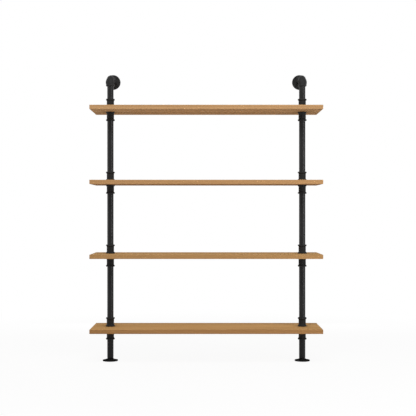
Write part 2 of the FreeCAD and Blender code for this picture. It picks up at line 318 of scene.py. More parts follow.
class ShelvingSettings(bpy.types.PropertyGroup):
    """All settings of the pipe shelving unit."""

    couplings: PointerProperty(type=CouplingSettings, name="Couplings")
    elbows: PointerProperty(type=ElbowSettings, name="Elbows")
    threads: PointerProperty(type=ThreadSettings, name="Threads")
    screws: PointerProperty(type=ScrewSettings, name="Screws")
    timber: PointerProperty(type=TimberSettings, name="Timber")
    coat: PointerProperty(type=CoatSettings, name="Coat")
    stage: PointerProperty(type=StageSettings, name="Stage")


# ------------------------ meshes


def skin_through(name, rings, capped=False):
    """A closed skin that joins each ring of points to the next. The last ring is joined to the
    first, or both are capped."""
    around = len(rings[0])
    points = [point for ring in rings for point in ring]
    faces = []
    if capped:
        faces.append(tuple(range(around)))
        faces.append(tuple(range(len(points) - around, len(points))))
    for number in range(len(rings) - 1 if capped else len(rings)):
        here = number * around
        there = (number + 1) % len(rings) * around
        for step in range(around):
            beside = (step + 1) % around
            faces.append((here + step, here + beside, there + beside, there + step))
    mesh = bpy.data.meshes.new(name)
    mesh.from_pydata(points, [], faces)
    work = bmesh.new()
    work.from_mesh(mesh)
    bmesh.ops.recalc_face_normals(work, faces=work.faces)
    work.to_mesh(mesh)
    work.free()
    mesh.shade_smooth()
    mesh.set_sharp_from_angle(angle=SHARP_ANGLE)
    return mesh


def add_piece(mesh, node, material):
    """Puts a piece in the scene, in place of a CAD node where one is given."""
    piece = bpy.data.objects.new(mesh.name, mesh)
    bpy.context.scene.collection.objects.link(piece)
    mesh.materials.append(material)
    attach(piece, "root")
    if node:
        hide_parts(node)
    return piece


def turned_point(placed, radius, angle, height):
    """A point round the Z axis of a placing matrix."""
    return placed @ Vector((radius * math.cos(angle), radius * math.sin(angle), height))


def bearings(sizes, seams):
    """Angles round a casting, closer together beside its moulding seams."""
    reach = 1.6 * sizes.seam_width / sizes.body_radius
    spread = (-1.0, -0.6, -0.3, 0.0, 0.3, 0.6, 1.0)
    angles = [seam + reach * share for seam in seams for share in spread]
    for step in range(sizes.steps_around):
        angle = math.tau * step / sizes.steps_around
        if all(abs(math.remainder(angle - seam, math.tau)) > 1.3 * reach for seam in seams):
            angles.append(angle)
    return sorted(angle % math.tau for angle in angles)


def seam_rise(angle, seams, radius, sizes):
    """How far a moulding seam stands above the skin at this angle."""
    rise = 0.0
    for seam in seams:
        beside = abs(math.remainder(angle - seam, math.tau)) * radius
        rise = max(rise, math.exp(-((beside / sizes.seam_width) ** 2)))
    return rise * sizes.seam_height


def bead_outline(sizes):
    """Radius and distance from the end face, from the mouth over the bead to the body."""
    mouth = PIPE_RADIUS + sizes.mouth_bevel
    outline = [
        (PIPE_RADIUS + 0.05 * MM, sizes.mouth_bevel),
        (mouth, 0.15 * MM),
        (mouth + 0.2 * MM, 0.0),
    ]
    corner = sizes.bead_corner
    low = BEAD_RADIUS - sizes.bead_crown
    corner_steps = 7
    for step in range(corner_steps + 1):
        turn = math.pi / 2 * step / corner_steps
        outline.append((low - corner + corner * math.sin(turn), corner - corner * math.cos(turn)))
    crest_steps = 5
    for step in range(1, crest_steps + 1):
        share = step / crest_steps
        crown = sizes.bead_crown * (1 - (2 * share - 1) ** 2)
        outline.append((low + crown, corner + (sizes.bead_crest - corner) * share))
    shoulder_steps = 9
    for step in range(1, shoulder_steps + 1):
        share = step / shoulder_steps
        rise = 0.5 + 0.5 * math.cos(math.pi * share)
        along = sizes.bead_crest + (sizes.bead_length - sizes.bead_crest) * share
        outline.append((sizes.body_radius + (low - sizes.body_radius) * rise, along))
    return outline


def stray(point, unevenness):
    """A small smooth error of a casting's skin at this point."""
    return unevenness * noise.noise(point * 95.0) + 0.5 * unevenness * noise.noise(point * 260.0)


def cast_ring(heart, out, beside, radius, angles, seams, sizes):
    """Points round an axis: uneven outside the mouth, with the seams between the beads."""
    ring = []
    for angle in angles:
        away = out * math.cos(angle) + beside * math.sin(angle)
        grown = radius
        if radius > PIPE_RADIUS + 2.0 * MM:
            grown += stray(heart + away * radius, sizes.unevenness)
            if radius < BEAD_RADIUS - 0.2 * MM:
                grown += seam_rise(angle, seams, radius, sizes)
        ring.append(heart + away * grown)
    return ring


def casting_outline(unit, length, body_steps, bore_steps):
    """Radius and distance along the axis, over a casting's outside and back through its bore."""
    sizes = unit.couplings
    thread = unit.threads
    end = bead_outline(sizes)
    bare = length - 2 * sizes.bead_length
    bore = length - 2 * thread.length
    inside = PIPE_RADIUS - thread.length * thread.taper / 2
    outline = list(end)
    for step in range(1, body_steps):
        outline.append((sizes.body_radius, sizes.bead_length + bare * step / body_steps))
    outline += [(radius, length - along) for radius, along in reversed(end)]
    for step in range(bore_steps + 1):
        outline.append((inside, length - thread.length - bore * step / bore_steps))
    return outline


def coupling_mesh(name, node, turned, unit):
    """A beaded coupling on an upright, in the place of a CAD coupling."""
    low, high = box_of(node)
    centre = middle_of(node)
    seams = (turned, turned + math.pi)
    angles = bearings(unit.couplings, seams)
    out = Vector((1.0, 0.0, 0.0))
    beside = Vector((0.0, 1.0, 0.0))
    rings = []
    for radius, along in casting_outline(unit, high.z - low.z, 4, 1):
        heart = Vector((centre.x, centre.y, low.z + along))
        rings.append(cast_ring(heart, out, beside, radius, angles, seams, unit.couplings))
    return skin_through(name, rings)


def elbow_station(along, leg, bend):
    """Axis point and outward direction of the bend's plane, as (y, z) from the elbow's foot."""
    arc = bend * math.pi / 2
    if along <= leg:
        return (0.0, along), (-1.0, 0.0)
    if along >= leg + arc:
        return (bend + along - leg - arc, leg + bend), (0.0, 1.0)
    turn = (along - leg) / bend
    out = (-math.cos(turn), math.sin(turn))
    return (bend + bend * out[0], leg + bend * out[1]), out


def elbow_mesh(name, centre_x, unit):
    """A beaded elbow, from its lower face on the upright to its rear face on the arm."""
    foot_z = ELBOW_LOW.z
    leg = unit.elbows.leg
    bend = ARM_HEIGHT - foot_z - leg
    length = 2 * leg + bend * math.pi / 2
    seams = (0.0, math.pi)
    angles = bearings(unit.couplings, seams)
    beside = Vector((1.0, 0.0, 0.0))
    rings = []
    for radius, along in casting_outline(unit, length, unit.elbows.steps_of_bend + 4, 16):
        (y, z), (out_y, out_z) = elbow_station(along, leg, bend)
        heart = Vector((centre_x, y, foot_z + z))
        out = Vector((0.0, out_y, out_z))
        rings.append(cast_ring(heart, out, beside, radius, angles, seams, unit.couplings))
    return skin_through(name, rings)


def threaded_pipe_mesh(name, placed, length, shape, around=96):
    """A pipe along +Z of its placing matrix, with the thread cut where its first end shows."""

    def cone(along):
        """Radius of the pipe before its thread is cut."""
        from_end = min(along, length - along)
        return PIPE_RADIUS - max(0.0, shape.length - from_end) * shape.taper / 2

    # rings: inside the flange, close together along the thread that shows, then far apart
    fine = shape.pitch / 12
    cut_from = shape.length - shape.cut_length
    steps = math.ceil((shape.length + 0.3 * MM - cut_from) / fine)
    heights = [0.0, 4.0 * MM]
    heights += [cut_from + fine * step for step in range(steps + 1)]
    body_end = length - shape.length
    heights += [heights[-1] + (body_end - heights[-1]) * share for share in (0.04, 0.35, 0.7)]
    heights += [body_end, length]

    flat = 0.1  # share of half a pitch that is flat at the crest, and at the root
    angles = [math.tau * step / around for step in range(around)]
    rings = []
    for along in heights:
        fade = min(1.0, max(0.0, (shape.length - along) / shape.run_out))
        depth = shape.depth * math.sqrt(fade)
        if along < cut_from + fine / 2:
            depth = 0.0
        ring = []
        for angle in angles:
            turns = along / shape.pitch - angle / math.tau
            tooth = abs(2 * (turns % 1.0) - 1)
            tooth = min(1.0, max(0.0, (tooth - flat) / (1 - 2 * flat)))
            ring.append(turned_point(placed, cone(along) - depth * (1 - tooth), angle, along))
        rings.append(ring)
    bore = PIPE_RADIUS - shape.wall
    for along in (length, length / 2, 0.0):
        rings.append([turned_point(placed, bore, angle, along) for angle in angles])
    return skin_through(name, rings)


def screw_mesh(name, placed, turned, sizes):
    """A countersunk screw along +Z of its placing matrix, with its head's face at the top."""
    quarter = (0.0, 5.0, 9.0, 11.52, 16.0, 24.0, 34.0, 45.0, 56.0, 66.0, 74.0, 78.48, 81.0, 85.0)
    angles = [math.radians(90 * side + part) for side in range(4) for part in quarter]

    def cross(angle, grown):
        """Radius of the cross recess's outline at this angle."""
        long = sizes.slot_reach * grown
        half = sizes.slot_half * grown
        c = max(abs(math.cos(angle)), 1e-6)
        s = max(abs(math.sin(angle)), 1e-6)
        return max(min(long / c, half / s), min(half / c, long / s))

    face = sizes.plate - sizes.below
    neck = face - (sizes.head - sizes.shank)
    recess = (
        (0.35, face - sizes.slot_depth),
        (0.62, face - 0.6 * sizes.slot_depth),
        (1.0, face),
    )
    outside = (
        (sizes.head - 0.25 * MM, face),
        (sizes.head, face - 0.12 * MM),
        (sizes.head, face - 0.3 * MM),
        (sizes.shank + 0.25 * MM, neck - 0.05 * MM),
        (sizes.shank, neck - 0.4 * MM),
        (sizes.shank, 0.05 * MM),
    )
    rings = []
    for grown, height in recess:
        rings.append([
            turned_point(placed, cross(angle, grown), angle + turned, height) for angle in angles
        ])
    for radius, height in outside:
        rings.append([turned_point(placed, radius, angle + turned, height) for angle in angles])
    return skin_through(name, rings, capped=True)


# ------------------------ shader wiring


class Wiring:
    """Adds nodes to one node tree and links them. Each call returns the socket it ends in."""

    def __init__(self, tree):
        self.tree = tree
        self.column = 0

    def add(self, kind, **choices):
        """A new node with its choices made."""
        node = self.tree.nodes.new(kind)
        node.location = (self.column * 190 - 1800, -160 * (self.column % 5))
        self.column += 1
        for choice, setting in choices.items():
            setattr(node, choice, setting)
        return node

    def feed(self, socket, source):
        """Links a socket to another, or sets the value it has of its own."""
        if isinstance(source, bpy.types.NodeSocket):
            self.tree.links.new(source, socket)
        else:
            socket.default_value = source

    def fed(self, kind, *sources, **choices):
        """A new node with its first inputs fed in order."""
        node = self.add(kind, **choices)
        for socket, source in zip(node.inputs, sources):
            self.feed(socket, source)
        return node

    def math(self, operation, *sources, clamp=False):
        """One Math node."""
        return self.fed("ShaderNodeMath", *sources, operation=operation, use_clamp=clamp).outputs[0]

    def plus(self, total, *others, clamp=False):
        """The sum of two or more values. clamp keeps it from 0 to 1."""
        for other in others[:-1]:
            total = self.math("ADD", total, other)
        return self.math("ADD", total, others[-1], clamp=clamp)

    def minus(self, first, second):
        """The first value less the second."""
        return self.math("SUBTRACT", first, second)

    def times(self, first, second):
        """The product of two values."""
        return self.math("MULTIPLY", first, second)

    def size(self, source):
        """A value without its sign."""
        return self.math("ABSOLUTE", source)

    def swing(self, source, amount):
        """A value from 0 to 1 as an offset to both sides of nothing."""
        return self.times(self.minus(source, 0.5), amount)

    def reach(self, across, other):
        """Distance from an axis, from the distances along two lines across it."""
        return self.math("SQRT", self.plus(self.times(across, across), self.times(other, other)))

    def fit(self, source, low, high, to_low=0.0, to_high=1.0, smooth=True):
        """Carries a range over to another, eased at both ends."""
        kind = "SMOOTHSTEP" if smooth else "LINEAR"
        node = self.fed(
            "ShaderNodeMapRange", source, low, high, to_low, to_high,
            interpolation_type=kind, clamp=True,
        )
        return node.outputs["Result"]

    def blend(self, share, first, second, how="MIX"):
        """Mixes two colours."""
        node = self.add("ShaderNodeMix", data_type="RGBA", blend_type=how, clamp_factor=True)
        for number, source in ((0, share), (6, first), (7, second)):
            self.feed(node.inputs[number], source)
        return node.outputs[2]

    def split(self, vector):
        """The three parts of a vector."""
        return tuple(self.fed("ShaderNodeSeparateXYZ", vector).outputs)

    def join(self, x, y, z):
        """A vector from its three parts."""
        return self.fed("ShaderNodeCombineXYZ", x, y, z).outputs[0]

    def stretch(self, parts, scales):
        """A point for a noise of scale 1, with its own waves per metre in each direction."""
        return self.join(*(self.times(part, scale) for part, scale in zip(parts, scales)))

    def noise(self, vector, scale, detail=2.0, roughness=0.5):
        """Smooth noise, about 0 to 1."""
        node = self.add("ShaderNodeTexNoise")
        self.feed(node.inputs["Vector"], vector)
        self.feed(node.inputs["Scale"], scale)
        self.feed(node.inputs["Detail"], detail)
        self.feed(node.inputs["Roughness"], roughness)
        return node.outputs["Fac"]

    def chance(self, number):
        """Three numbers from 0 to 1 that belong to a whole number."""
        node = self.add("ShaderNodeTexWhiteNoise", noise_dimensions="1D")
        self.feed(node.inputs["W"], number)
        return self.split(node.outputs["Color"])

    def place(self):
        """The point on the surface, in the unit's own frame."""
        return self.add("ShaderNodeTexCoord").outputs["Object"]

    def group(self, tree, **sources):
        """A node group's sockets, with its inputs fed by name."""
        node = self.add("ShaderNodeGroup", node_tree=tree)
        for label, source in sources.items():
            self.feed(node.inputs[label.replace("_", " ")], source)
        return node.outputs

    def mix_into(self, output, share, first, second):
        """Feeds an output node from two shader nodes."""
        mix = self.fed("ShaderNodeMixShader", share, first.outputs[0], second.outputs[0])
        self.feed(output.inputs["Surface"], mix.outputs[0])


# what a group that describes a surface puts out
SURFACE = (("Colour", "Color"), ("Roughness", "Float"), ("Height", "Float"))


def new_group(name, inputs, outputs):
    """An empty shader group with its sockets, given as (name, kind)."""
    tree = bpy.data.node_groups.new(name, "ShaderNodeTree")
    for way, sockets in (("INPUT", inputs), ("OUTPUT", outputs)):
        for label, kind in sockets:
            tree.interface.new_socket(label, in_out=way, socket_type=f"NodeSocket{kind}")
    w = Wiring(tree)
    entry = w.add("NodeGroupInput").outputs
    leave = w.add("NodeGroupOutput").inputs
    return w, entry, leave


def finish_surface(w, leave, *values):
    """Feeds a group's three outputs and gives its node tree."""
    for (label, _), value in zip(SURFACE, values):
        w.feed(leave[label], value)
    return w.tree


def built_once(name, build):
    """The node group of this name, built when it is first asked for."""
    return bpy.data.node_groups.get(name) or build(name)


def with_alpha(colour, tint=(1.0, 1.0, 1.0)):
    """A colour as a shader socket takes it."""
    return (colour[0] * tint[0], colour[1] * tint[1], colour[2] * tint[2], 1.0)


def late_wood(w, entry, x, z, rise, shifted, across, own):
    """How dark the growth rings are, 0 to 1, and a chance that gives the stave its tone."""
    one, two, three = w.chance(own)
    heart_y = w.fit(one, 0.0, 1.0, -0.055, 0.055, smooth=False)
    heart_z = w.fit(two, 0.0, 1.0, 0.028, 0.085, smooth=False)
    flip = w.minus(w.times(w.math("GREATER_THAN", three, 0.5), 2.0), 1.0)
    heart_z = w.times(heart_z, flip)

    # the heart wanders along the board, which draws the long arches
    sway = w.swing(w.noise(w.join(w.times(x, 1.25), own, 0.0), 1.0), 0.032)
    swell = w.swing(w.noise(w.join(w.times(x, 1.0), w.plus(own, 40.0), 3.0), 1.0), 0.026)
    from_y = w.plus(across, heart_y, sway)
    from_z = w.plus(rise, heart_z, swell)
    ripple = w.swing(w.noise(w.stretch((x, shifted, z), (7.0, 60.0, 60.0)), 1.0, 3.0), 0.0022)
    rings = w.math("DIVIDE", w.plus(w.reach(from_y, from_z), ripple), entry["Ring Spacing"])
    within = w.math("FRACT", rings)
    late = w.times(w.fit(within, 0.25, 0.86), w.fit(within, 0.90, 1.0, 1.0, 0.0))
    year = w.chance(w.plus(w.math("FLOOR", rings), own))[0]
    return w.times(late, w.fit(year, 0.0, 1.0, 0.35, 1.0, smooth=False)), three


def painted_light_shade_and_end_grain(w, entry, colour):
    """A board's colour with painted light on its top, painted shade on its underside and the tint
    of its end grain, and the mask of its end grain.
    """
    along, _, up = w.split(w.add("ShaderNodeTexCoord").outputs["Normal"])
    end_grain = w.fit(w.size(along), 0.6, 0.9)
    # painted light on the tops and painted shade on the undersides
    top = w.fit(up, 0.4, 0.9, 1.0, w.plus(1.0, entry["Top Bleach"]))
    tone = w.times(top, w.fit(up, -0.9, -0.4, entry["Underside"], 1.0))
    lit_tone = w.join(tone, w.math("POWER", tone, 1.22), w.math("POWER", tone, 1.05))
    colour = w.fed("ShaderNodeVectorMath", colour, lit_tone, operation="MULTIPLY").outputs[0]
    soaked = w.blend(1.0, colour, END_GRAIN_TINT, "MULTIPLY")
    return w.blend(w.times(end_grain, 0.55), colour, soaked), end_grain


def painted_shade_round_fittings(w, x, y):
    """Painted shade: a dark line and a faint halo on a board round each fitting that bears on it.
    """
    from_upright = w.reach(w.minus(w.size(x), UPRIGHT_X), y)
    line = w.fit(from_upright, BEAD_RADIUS + 0.5 * MM, BEAD_RADIUS + 3.5 * MM, 0.70, 0.0)
    halo = w.fit(from_upright, BEAD_RADIUS, BEAD_RADIUS + 34 * MM, 0.22, 0.0)
    return w.math("MAXIMUM", line, halo)


def handled_edges(w, x, y, rise):
    """The eased edges, which are handled most, in patches."""
    to_x = w.minus(BOARD_HALF.x, w.size(x))
    to_y = w.minus(BOARD_HALF.y, w.size(y))
    to_z = w.minus(BOARD_HALF.z, w.size(rise))
    nearest = w.math("MINIMUM", to_x, w.math("MINIMUM", to_y, to_z))
    farthest = w.math("MAXIMUM", to_x, w.math("MAXIMUM", to_y, to_z))
    total = w.plus(to_x, w.plus(to_y, to_z))
    second = w.minus(w.minus(total, nearest), farthest)
    patches = w.noise(w.place(), 55.0, 3.0)
    return w.times(w.fit(second, 0.4 * MM, 2.4 * MM, 1.0, 0.0), w.fit(patches, 0.35, 0.7))


def timber_figure_group(name):
    """Growth rings, fibres and glued staves of a board that runs along X."""
    inputs = (
        ("Board Middle", "Float"),
        ("Seed", "Float"),
        ("Pale Wood", "Color"),
        ("Dark Wood", "Color"),
        ("Ring Spacing", "Float"),
        ("Stave Width", "Float"),
        ("Top Bleach", "Float"),
        ("Underside", "Float"),
    )
    w, entry, leave = new_group(name, inputs, SURFACE)
    x, y, z = w.split(w.place())
    rise = w.minus(z, entry["Board Middle"])

    # staves, each with its own heart, tone and lie of the grain
    shifted = w.plus(w.plus(y, BOARD_HALF.y), w.times(entry["Seed"], 0.0173))
    strip = w.math("DIVIDE", shifted, entry["Stave Width"])
    across = w.times(w.minus(w.math("FRACT", strip), 0.5), entry["Stave Width"])
    own = w.plus(w.times(w.math("FLOOR", strip), 3.17), w.times(entry["Seed"], 11.3))
    late, stave_tone = late_wood(w, entry, x, z, rise, shifted, across, own)

    # fibres, pores and broad bands, drawn out along the board
    fibre = w.noise(w.stretch((x, shifted, z), (9.0, 620.0, 620.0)), 1.0, 3.0, 0.6)
    pore = w.fit(w.noise(w.stretch((x, shifted, z), (85.0, 1500.0, 1500.0)), 1.0, 1.0), 0.66, 0.76)
    broad = w.noise(w.stretch((x, shifted, rise), (0.8, 38.0, 105.0)), 1.0)

    shade = w.plus(
        w.times(late, 0.52), w.swing(fibre, 0.70), w.swing(broad, 1.25), w.swing(stave_tone, 0.50),
        0.17, clamp=True,
    )
    colour = w.blend(shade, entry["Pale Wood"], entry["Dark Wood"])
    colour = w.blend(w.times(pore, 0.32), colour, PORE_COLOUR)

    colour, end_grain = painted_light_shade_and_end_grain(w, entry, colour)

    # glue lines between the staves show as hairlines
    to_joint = w.minus(w.times(entry["Stave Width"], 0.5), w.size(across))
    joint = w.fit(to_joint, 0.1 * MM, 0.45 * MM, 1.0, 0.0)
    colour = w.blend(w.times(joint, 0.4), colour, GLUE_COLOUR)
    # painted shade round the fittings where they bear on a board
    colour = w.blend(painted_shade_round_fittings(w, x, y), colour, CONTACT_SHADE_COLOUR)
    worn = handled_edges(w, x, y, rise)
    colour = w.blend(w.times(worn, 0.3), colour, HANDLED_COLOUR)

    rough = w.plus(
        0.88, w.times(late, -0.08), w.swing(fibre, 0.16), w.times(end_grain, 0.14),
        w.times(worn, -0.08), clamp=True,
    )
    height = w.plus(w.times(fibre, 0.35), w.times(late, 0.25))
    height = w.minus(height, w.times(pore, 0.5))
    height = w.minus(height, w.times(joint, 0.8))
    return finish_surface(w, leave, colour, rough, height)


def black_coat_group(name):
    """Satin coat over metal: a fine grain, a slow orange peel and rubbed places."""
    inputs = (
        ("Coat", "Color"),
        ("Rubbed Coat", "Color"),
        ("Rubbed", "Float"),
        ("Roughness", "Float"),
        ("Grain", "Float"),
        ("Grain Depth", "Float"),
        ("Peel", "Float"),
        ("Peel Depth", "Float"),
    )
    w, entry, leave = new_group(name, inputs, SURFACE)
    place = w.place()
    grain = w.noise(place, entry["Grain"], 2.0, 0.55)
    peel = w.noise(place, entry["Peel"])
    cloud = w.noise(place, 22.0, 3.0, 0.55)
    speck = w.plus(1.0, w.swing(cloud, 0.45), w.swing(grain, 0.5))
    scaled = w.fed("ShaderNodeVectorMath", entry["Coat"], operation="SCALE")
    w.feed(scaled.inputs["Scale"], speck)
    rough = w.plus(
        entry["Roughness"], w.swing(cloud, 0.16), w.swing(grain, 0.20),
        w.times(entry["Rubbed"], -0.10), clamp=True,
    )
    height = w.plus(w.swing(grain, entry["Grain Depth"]), w.swing(peel, entry["Peel Depth"]))
    colour = w.blend(entry["Rubbed"], scaled.outputs[0], entry["Rubbed Coat"])
    return finish_surface(w, leave, colour, rough, height)


def edge_rub_group(name):
    """Breaks a clean edge mask into the uneven wear of handling."""
    inputs = (("Edge", "Float"), ("Amount", "Float"))
    w, entry, leave = new_group(name, inputs, (("Rubbed", "Float"),))
    place = w.place()
    patches = w.fit(w.noise(place, 70.0, 3.0, 0.6), 0.36, 0.66)
    specks = w.fit(w.noise(place, 700.0), 0.60, 0.74)
    rubbed = w.times(w.times(entry["Edge"], patches), entry["Amount"])
    w.feed(leave["Rubbed"], w.plus(rubbed, w.times(specks, 0.05), clamp=True))
    return w.tree


# ------------------------ materials


def new_material(name):
    """A material with its Principled shader, and the wiring to fill it."""
    material = bpy.data.materials.new(name)
    material.use_nodes = True
    return material, Wiring(material.node_tree), material.node_tree.nodes["Principled BSDF"]


def connect_surface(w, shader, outputs, strength, distance):
    """Feeds a shader from a group's colour, roughness and height."""
    w.feed(shader.inputs["Base Color"], outputs["Colour"])
    w.feed(shader.inputs["Roughness"], outputs["Roughness"])
    bump = w.add("ShaderNodeBump")
    bump.inputs["Strength"].default_value = strength
    bump.inputs["Distance"].default_value = distance
    w.feed(bump.inputs["Height"], outputs["Height"])
    w.feed(shader.inputs["Normal"], bump.outputs["Normal"])


def timber_material(shelf, settings):
    """Oiled timber for one board, with a figure of its own."""
    material, w, shader = new_material(f"timber_of_shelf_{shelf}")
    outputs = w.group(
        built_once("Timber Figure", timber_figure_group),
        Board_Middle=middle_of(f"shelf_{shelf}").z,
        Seed=BOARD_PLANKS[shelf],
        Pale_Wood=with_alpha(settings.pale, BOARD_SHADE_TINTS[shelf]),
        Dark_Wood=with_alpha(settings.dark, BOARD_SHADE_TINTS[shelf]),
        Top_Bleach=settings.top_bleach * BOARD_TOP_LIGHT[shelf],
        Underside=BOARD_UNDERSIDE_SHADE[shelf],
        Ring_Spacing=settings.ring_spacing,
        Stave_Width=settings.stave_width,
    )
    connect_surface(w, shader, outputs, 0.5, 0.3 * MM)
    shader.inputs["Specular IOR Level"].default_value = 0.03
    return material


def coat_material(name, settings, coat, edge_of):
    """Black coat over metal, rubbed where the mask is high that edge_of wires up."""
    material, w, shader = new_material(name)
    rub = w.group(built_once("Edge Rub", edge_rub_group), Edge=edge_of(w), Amount=coat["rub"])
    outputs = w.group(
        built_once("Black Coat", black_coat_group),
        Coat=with_alpha(getattr(settings, coat["colour"])),
        Rubbed_Coat=with_alpha(settings.rubbed),
        Rubbed=rub["Rubbed"],
        Roughness=coat["rough"],
        Grain=coat["grain"][0],
        Grain_Depth=coat["grain"][1],
        Peel=coat["peel"][0],
        Peel_Depth=coat["peel"][1],
    )
    connect_surface(w, shader, outputs, *coat["bump"])
    shader.inputs["Specular IOR Level"].default_value = settings.sheen_level * coat["sheen"]
    return material


def from_axis(w, at_wall):
    """Distances across the axis and from it, for an upright or for the arm to the wall."""
    x, y, z = w.split(w.place())
    across = w.minus(w.size(x), UPRIGHT_X)
    other = w.minus(z, ARM_HEIGHT) if at_wall else y
    return across, other, w.reach(across, other)


def draw_marks(w, at_wall=False):
    """Faint marks along a drawn pipe."""
    across, other, _ = from_axis(w, at_wall)
    bearing = w.math("ARCTAN2", other, across)
    _, y, z = w.split(w.place())
    mark_at = w.join(w.times(bearing, 9.0), w.times(y if at_wall else z, 1.6), 0.0)
    return w.fit(w.noise(mark_at, 1.0, 3.0, 0.6), 0.55, 0.75)


def bead_edges(w, at_wall=False):
    """Crests of the beads round an axis."""
    return w.fit(from_axis(w, at_wall)[2], BEAD_RADIUS - 1.1 * MM, BEAD_RADIUS)


def elbow_edges(w, bead_length):
    """Crests of an elbow's two beads, each in its own end of the elbow."""
    _, y, z = w.split(w.place())
    low_end = w.math("LESS_THAN", z, ELBOW_LOW.z + bead_length)
    rear_end = w.math("GREATER_THAN", y, ELBOW_HIGH.y - bead_length)
    low_bead = w.times(low_end, bead_edges(w))
    rear_bead = w.times(rear_end, bead_edges(w, at_wall=True))
    return w.math("MAXIMUM", low_bead, rear_bead)


def flange_edges(w, at_wall):
    """Rim of a flange and mouths of its four countersinks."""
    across, other, reach = from_axis(w, at_wall)
    rim = w.fit(reach, FLANGE_RADIUS - 1.4 * MM, FLANGE_RADIUS)
    hole = SCREW_CIRCLE * math.sqrt(0.5)
    from_screw = w.reach(w.minus(w.size(across), hole), w.minus(w.size(other), hole))
    from_mouth = w.size(w.minus(from_screw, COUNTERSINK_RADIUS))
    return w.math("MAXIMUM", rim, w.fit(from_mouth, 0.0, 0.7 * MM, 1.0, 0.0))


def driver_specks(w):
    """Specks on a screw where the driver turned it."""
    return w.fit(w.noise(w.place(), 900.0), 0.52, 0.70)


def dress(node, material):
    """Gives a CAD node its material in place of the plain one."""
    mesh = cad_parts[node].data
    mesh.materials.clear()
    mesh.materials.append(material)


# ------------------------ stage


def aim(thing, target):
    """Turns a lamp or camera to look at a point."""
    away = Vector(target) - thing.location
    thing.rotation_euler = away.to_track_quat("-Z", "Y").to_euler()


def add_lamp(name, place, target, size, power):
    """A rectangular soft lamp that the camera doesn't see."""
    data = bpy.data.lights.new(name, "AREA")
    data.shape = "RECTANGLE"
    data.size, data.size_y = size
    data.energy = power
    lamp = bpy.data.objects.new(name, data)
    lamp.location = place
    lamp.visible_camera = False
    bpy.context.scene.collection.objects.link(lamp)
    aim(lamp, target)
    return lamp


def seen_directly(w):
    """1 for what the camera sees, straight or in a reflection, and 0 for what lights the object."""
    path = w.add("ShaderNodeLightPath")
    seen = w.math("MAXIMUM", path.outputs["Is Camera Ray"], path.outputs["Is Glossy Ray"])
    return w.math("MAXIMUM", seen, path.outputs["Is Transmission Ray"])


def floor_material(settings):
    """Pale floor that reads as white and keeps a soft shadow."""
    material, w, shader = new_material("pale_floor")
    material.cycles.emission_sampling = "NONE"  # its glow lights nothing, so no ray looks for it
    shader.inputs["Base Color"].default_value = with_alpha(settings.floor)
    shader.inputs["Roughness"].default_value = 0.9
    shader.inputs["Specular IOR Level"].default_value = 0.1
    white = w.fed("ShaderNodeEmission", WHITE, 1.0)
    x, y, _ = w.split(w.place())
    share = w.fit(w.reach(x, y), 1.1, 2.6, 0.93, 1.0)
    output = material.node_tree.nodes["Material Output"]
    w.mix_into(output, w.times(seen_directly(w), share), shader, white)
    return material


def lay_floor(scene, settings):
    """A wide pale floor, just under the flanges."""
    mesh = bpy.data.meshes.new("floor")
    corners = [Vector((x, y, 0)) * FLOOR_HALF for x, y in ((-1, -1), (1, -1), (1, 1), (-1, 1))]
    mesh.from_pydata(corners, [], [(0, 1, 2, 3)])
    mesh.materials.append(floor_material(settings))
    floor = bpy.data.objects.new("floor", mesh)
    floor.location.z = FLOOR_LEVEL
    scene.collection.objects.link(floor)


def light_room(scene, settings):
    """Soft light from all round, stronger from behind, that reads as white."""
    world = bpy.data.worlds.new("soft_room")
    scene.world = world
    world.use_nodes = True
    world.cycles.sampling_method = "NONE"  # it is even enough to be found by bounced rays alone
    w = Wiring(world.node_tree)
    room = world.node_tree.nodes["Background"]
    room.inputs["Color"].default_value = WHITE
    behind = w.fit(w.split(w.add("ShaderNodeTexCoord").outputs["Generated"])[1], 0.1, 0.8)
    w.feed(room.inputs["Strength"], w.plus(w.times(behind, settings.rear_glow), settings.ambient))
    white = w.fed("ShaderNodeBackground", WHITE, 1.0)
    w.mix_into(world.node_tree.nodes["World Output"], seen_directly(w), room, white)


def set_camera(scene, settings):
    """A level camera in front of the unit."""
    data = bpy.data.cameras.new("camera")
    data.sensor_width = 36.0
    data.lens = settings.focal_length
    data.shift_x, data.shift_y = CAMERA_SHIFT
    data.clip_end = 100.0
    camera = bpy.data.objects.new("camera", data)
    camera.location = (0.0, -settings.camera_distance, settings.camera_height)
    camera.rotation_euler = (math.pi / 2, 0.0, 0.0)
    scene.collection.objects.link(camera)
    scene.camera = camera


# ------------------------ operators


class SHELVING_OT_finish_boards(bpy.types.Operator):
    """Give each board its own timber"""

    bl_idname = "shelving.finish_boards"
    bl_label = "Finish Boards"
    bl_options = {"REGISTER", "UNDO"}

    def execute(self, context):
        settings = context.scene.shelving.timber
        for shelf in SHELVES:
            dress(f"shelf_{shelf}", timber_material(shelf, settings))
        return {"FINISHED"}


class SHELVING_OT_coat_pipes(bpy.types.Operator):
    """Coat the risers, nipples and top pipes, which keep their plain round shape"""

    bl_idname = "shelving.coat_pipes"
    bl_label = "Coat Plain Pipes"
    bl_options = {"REGISTER", "UNDO"}

    def execute(self, context):
        coat = context.scene.shelving.coat
        material = coat_material("coated_upright_pipe", coat, PIPE_COAT, draw_marks)
        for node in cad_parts:
            if "riser_pipe" in node or "shelf_nipple" in node or "top_pipe" in node:
                dress(node, material)
        return {"FINISHED"}


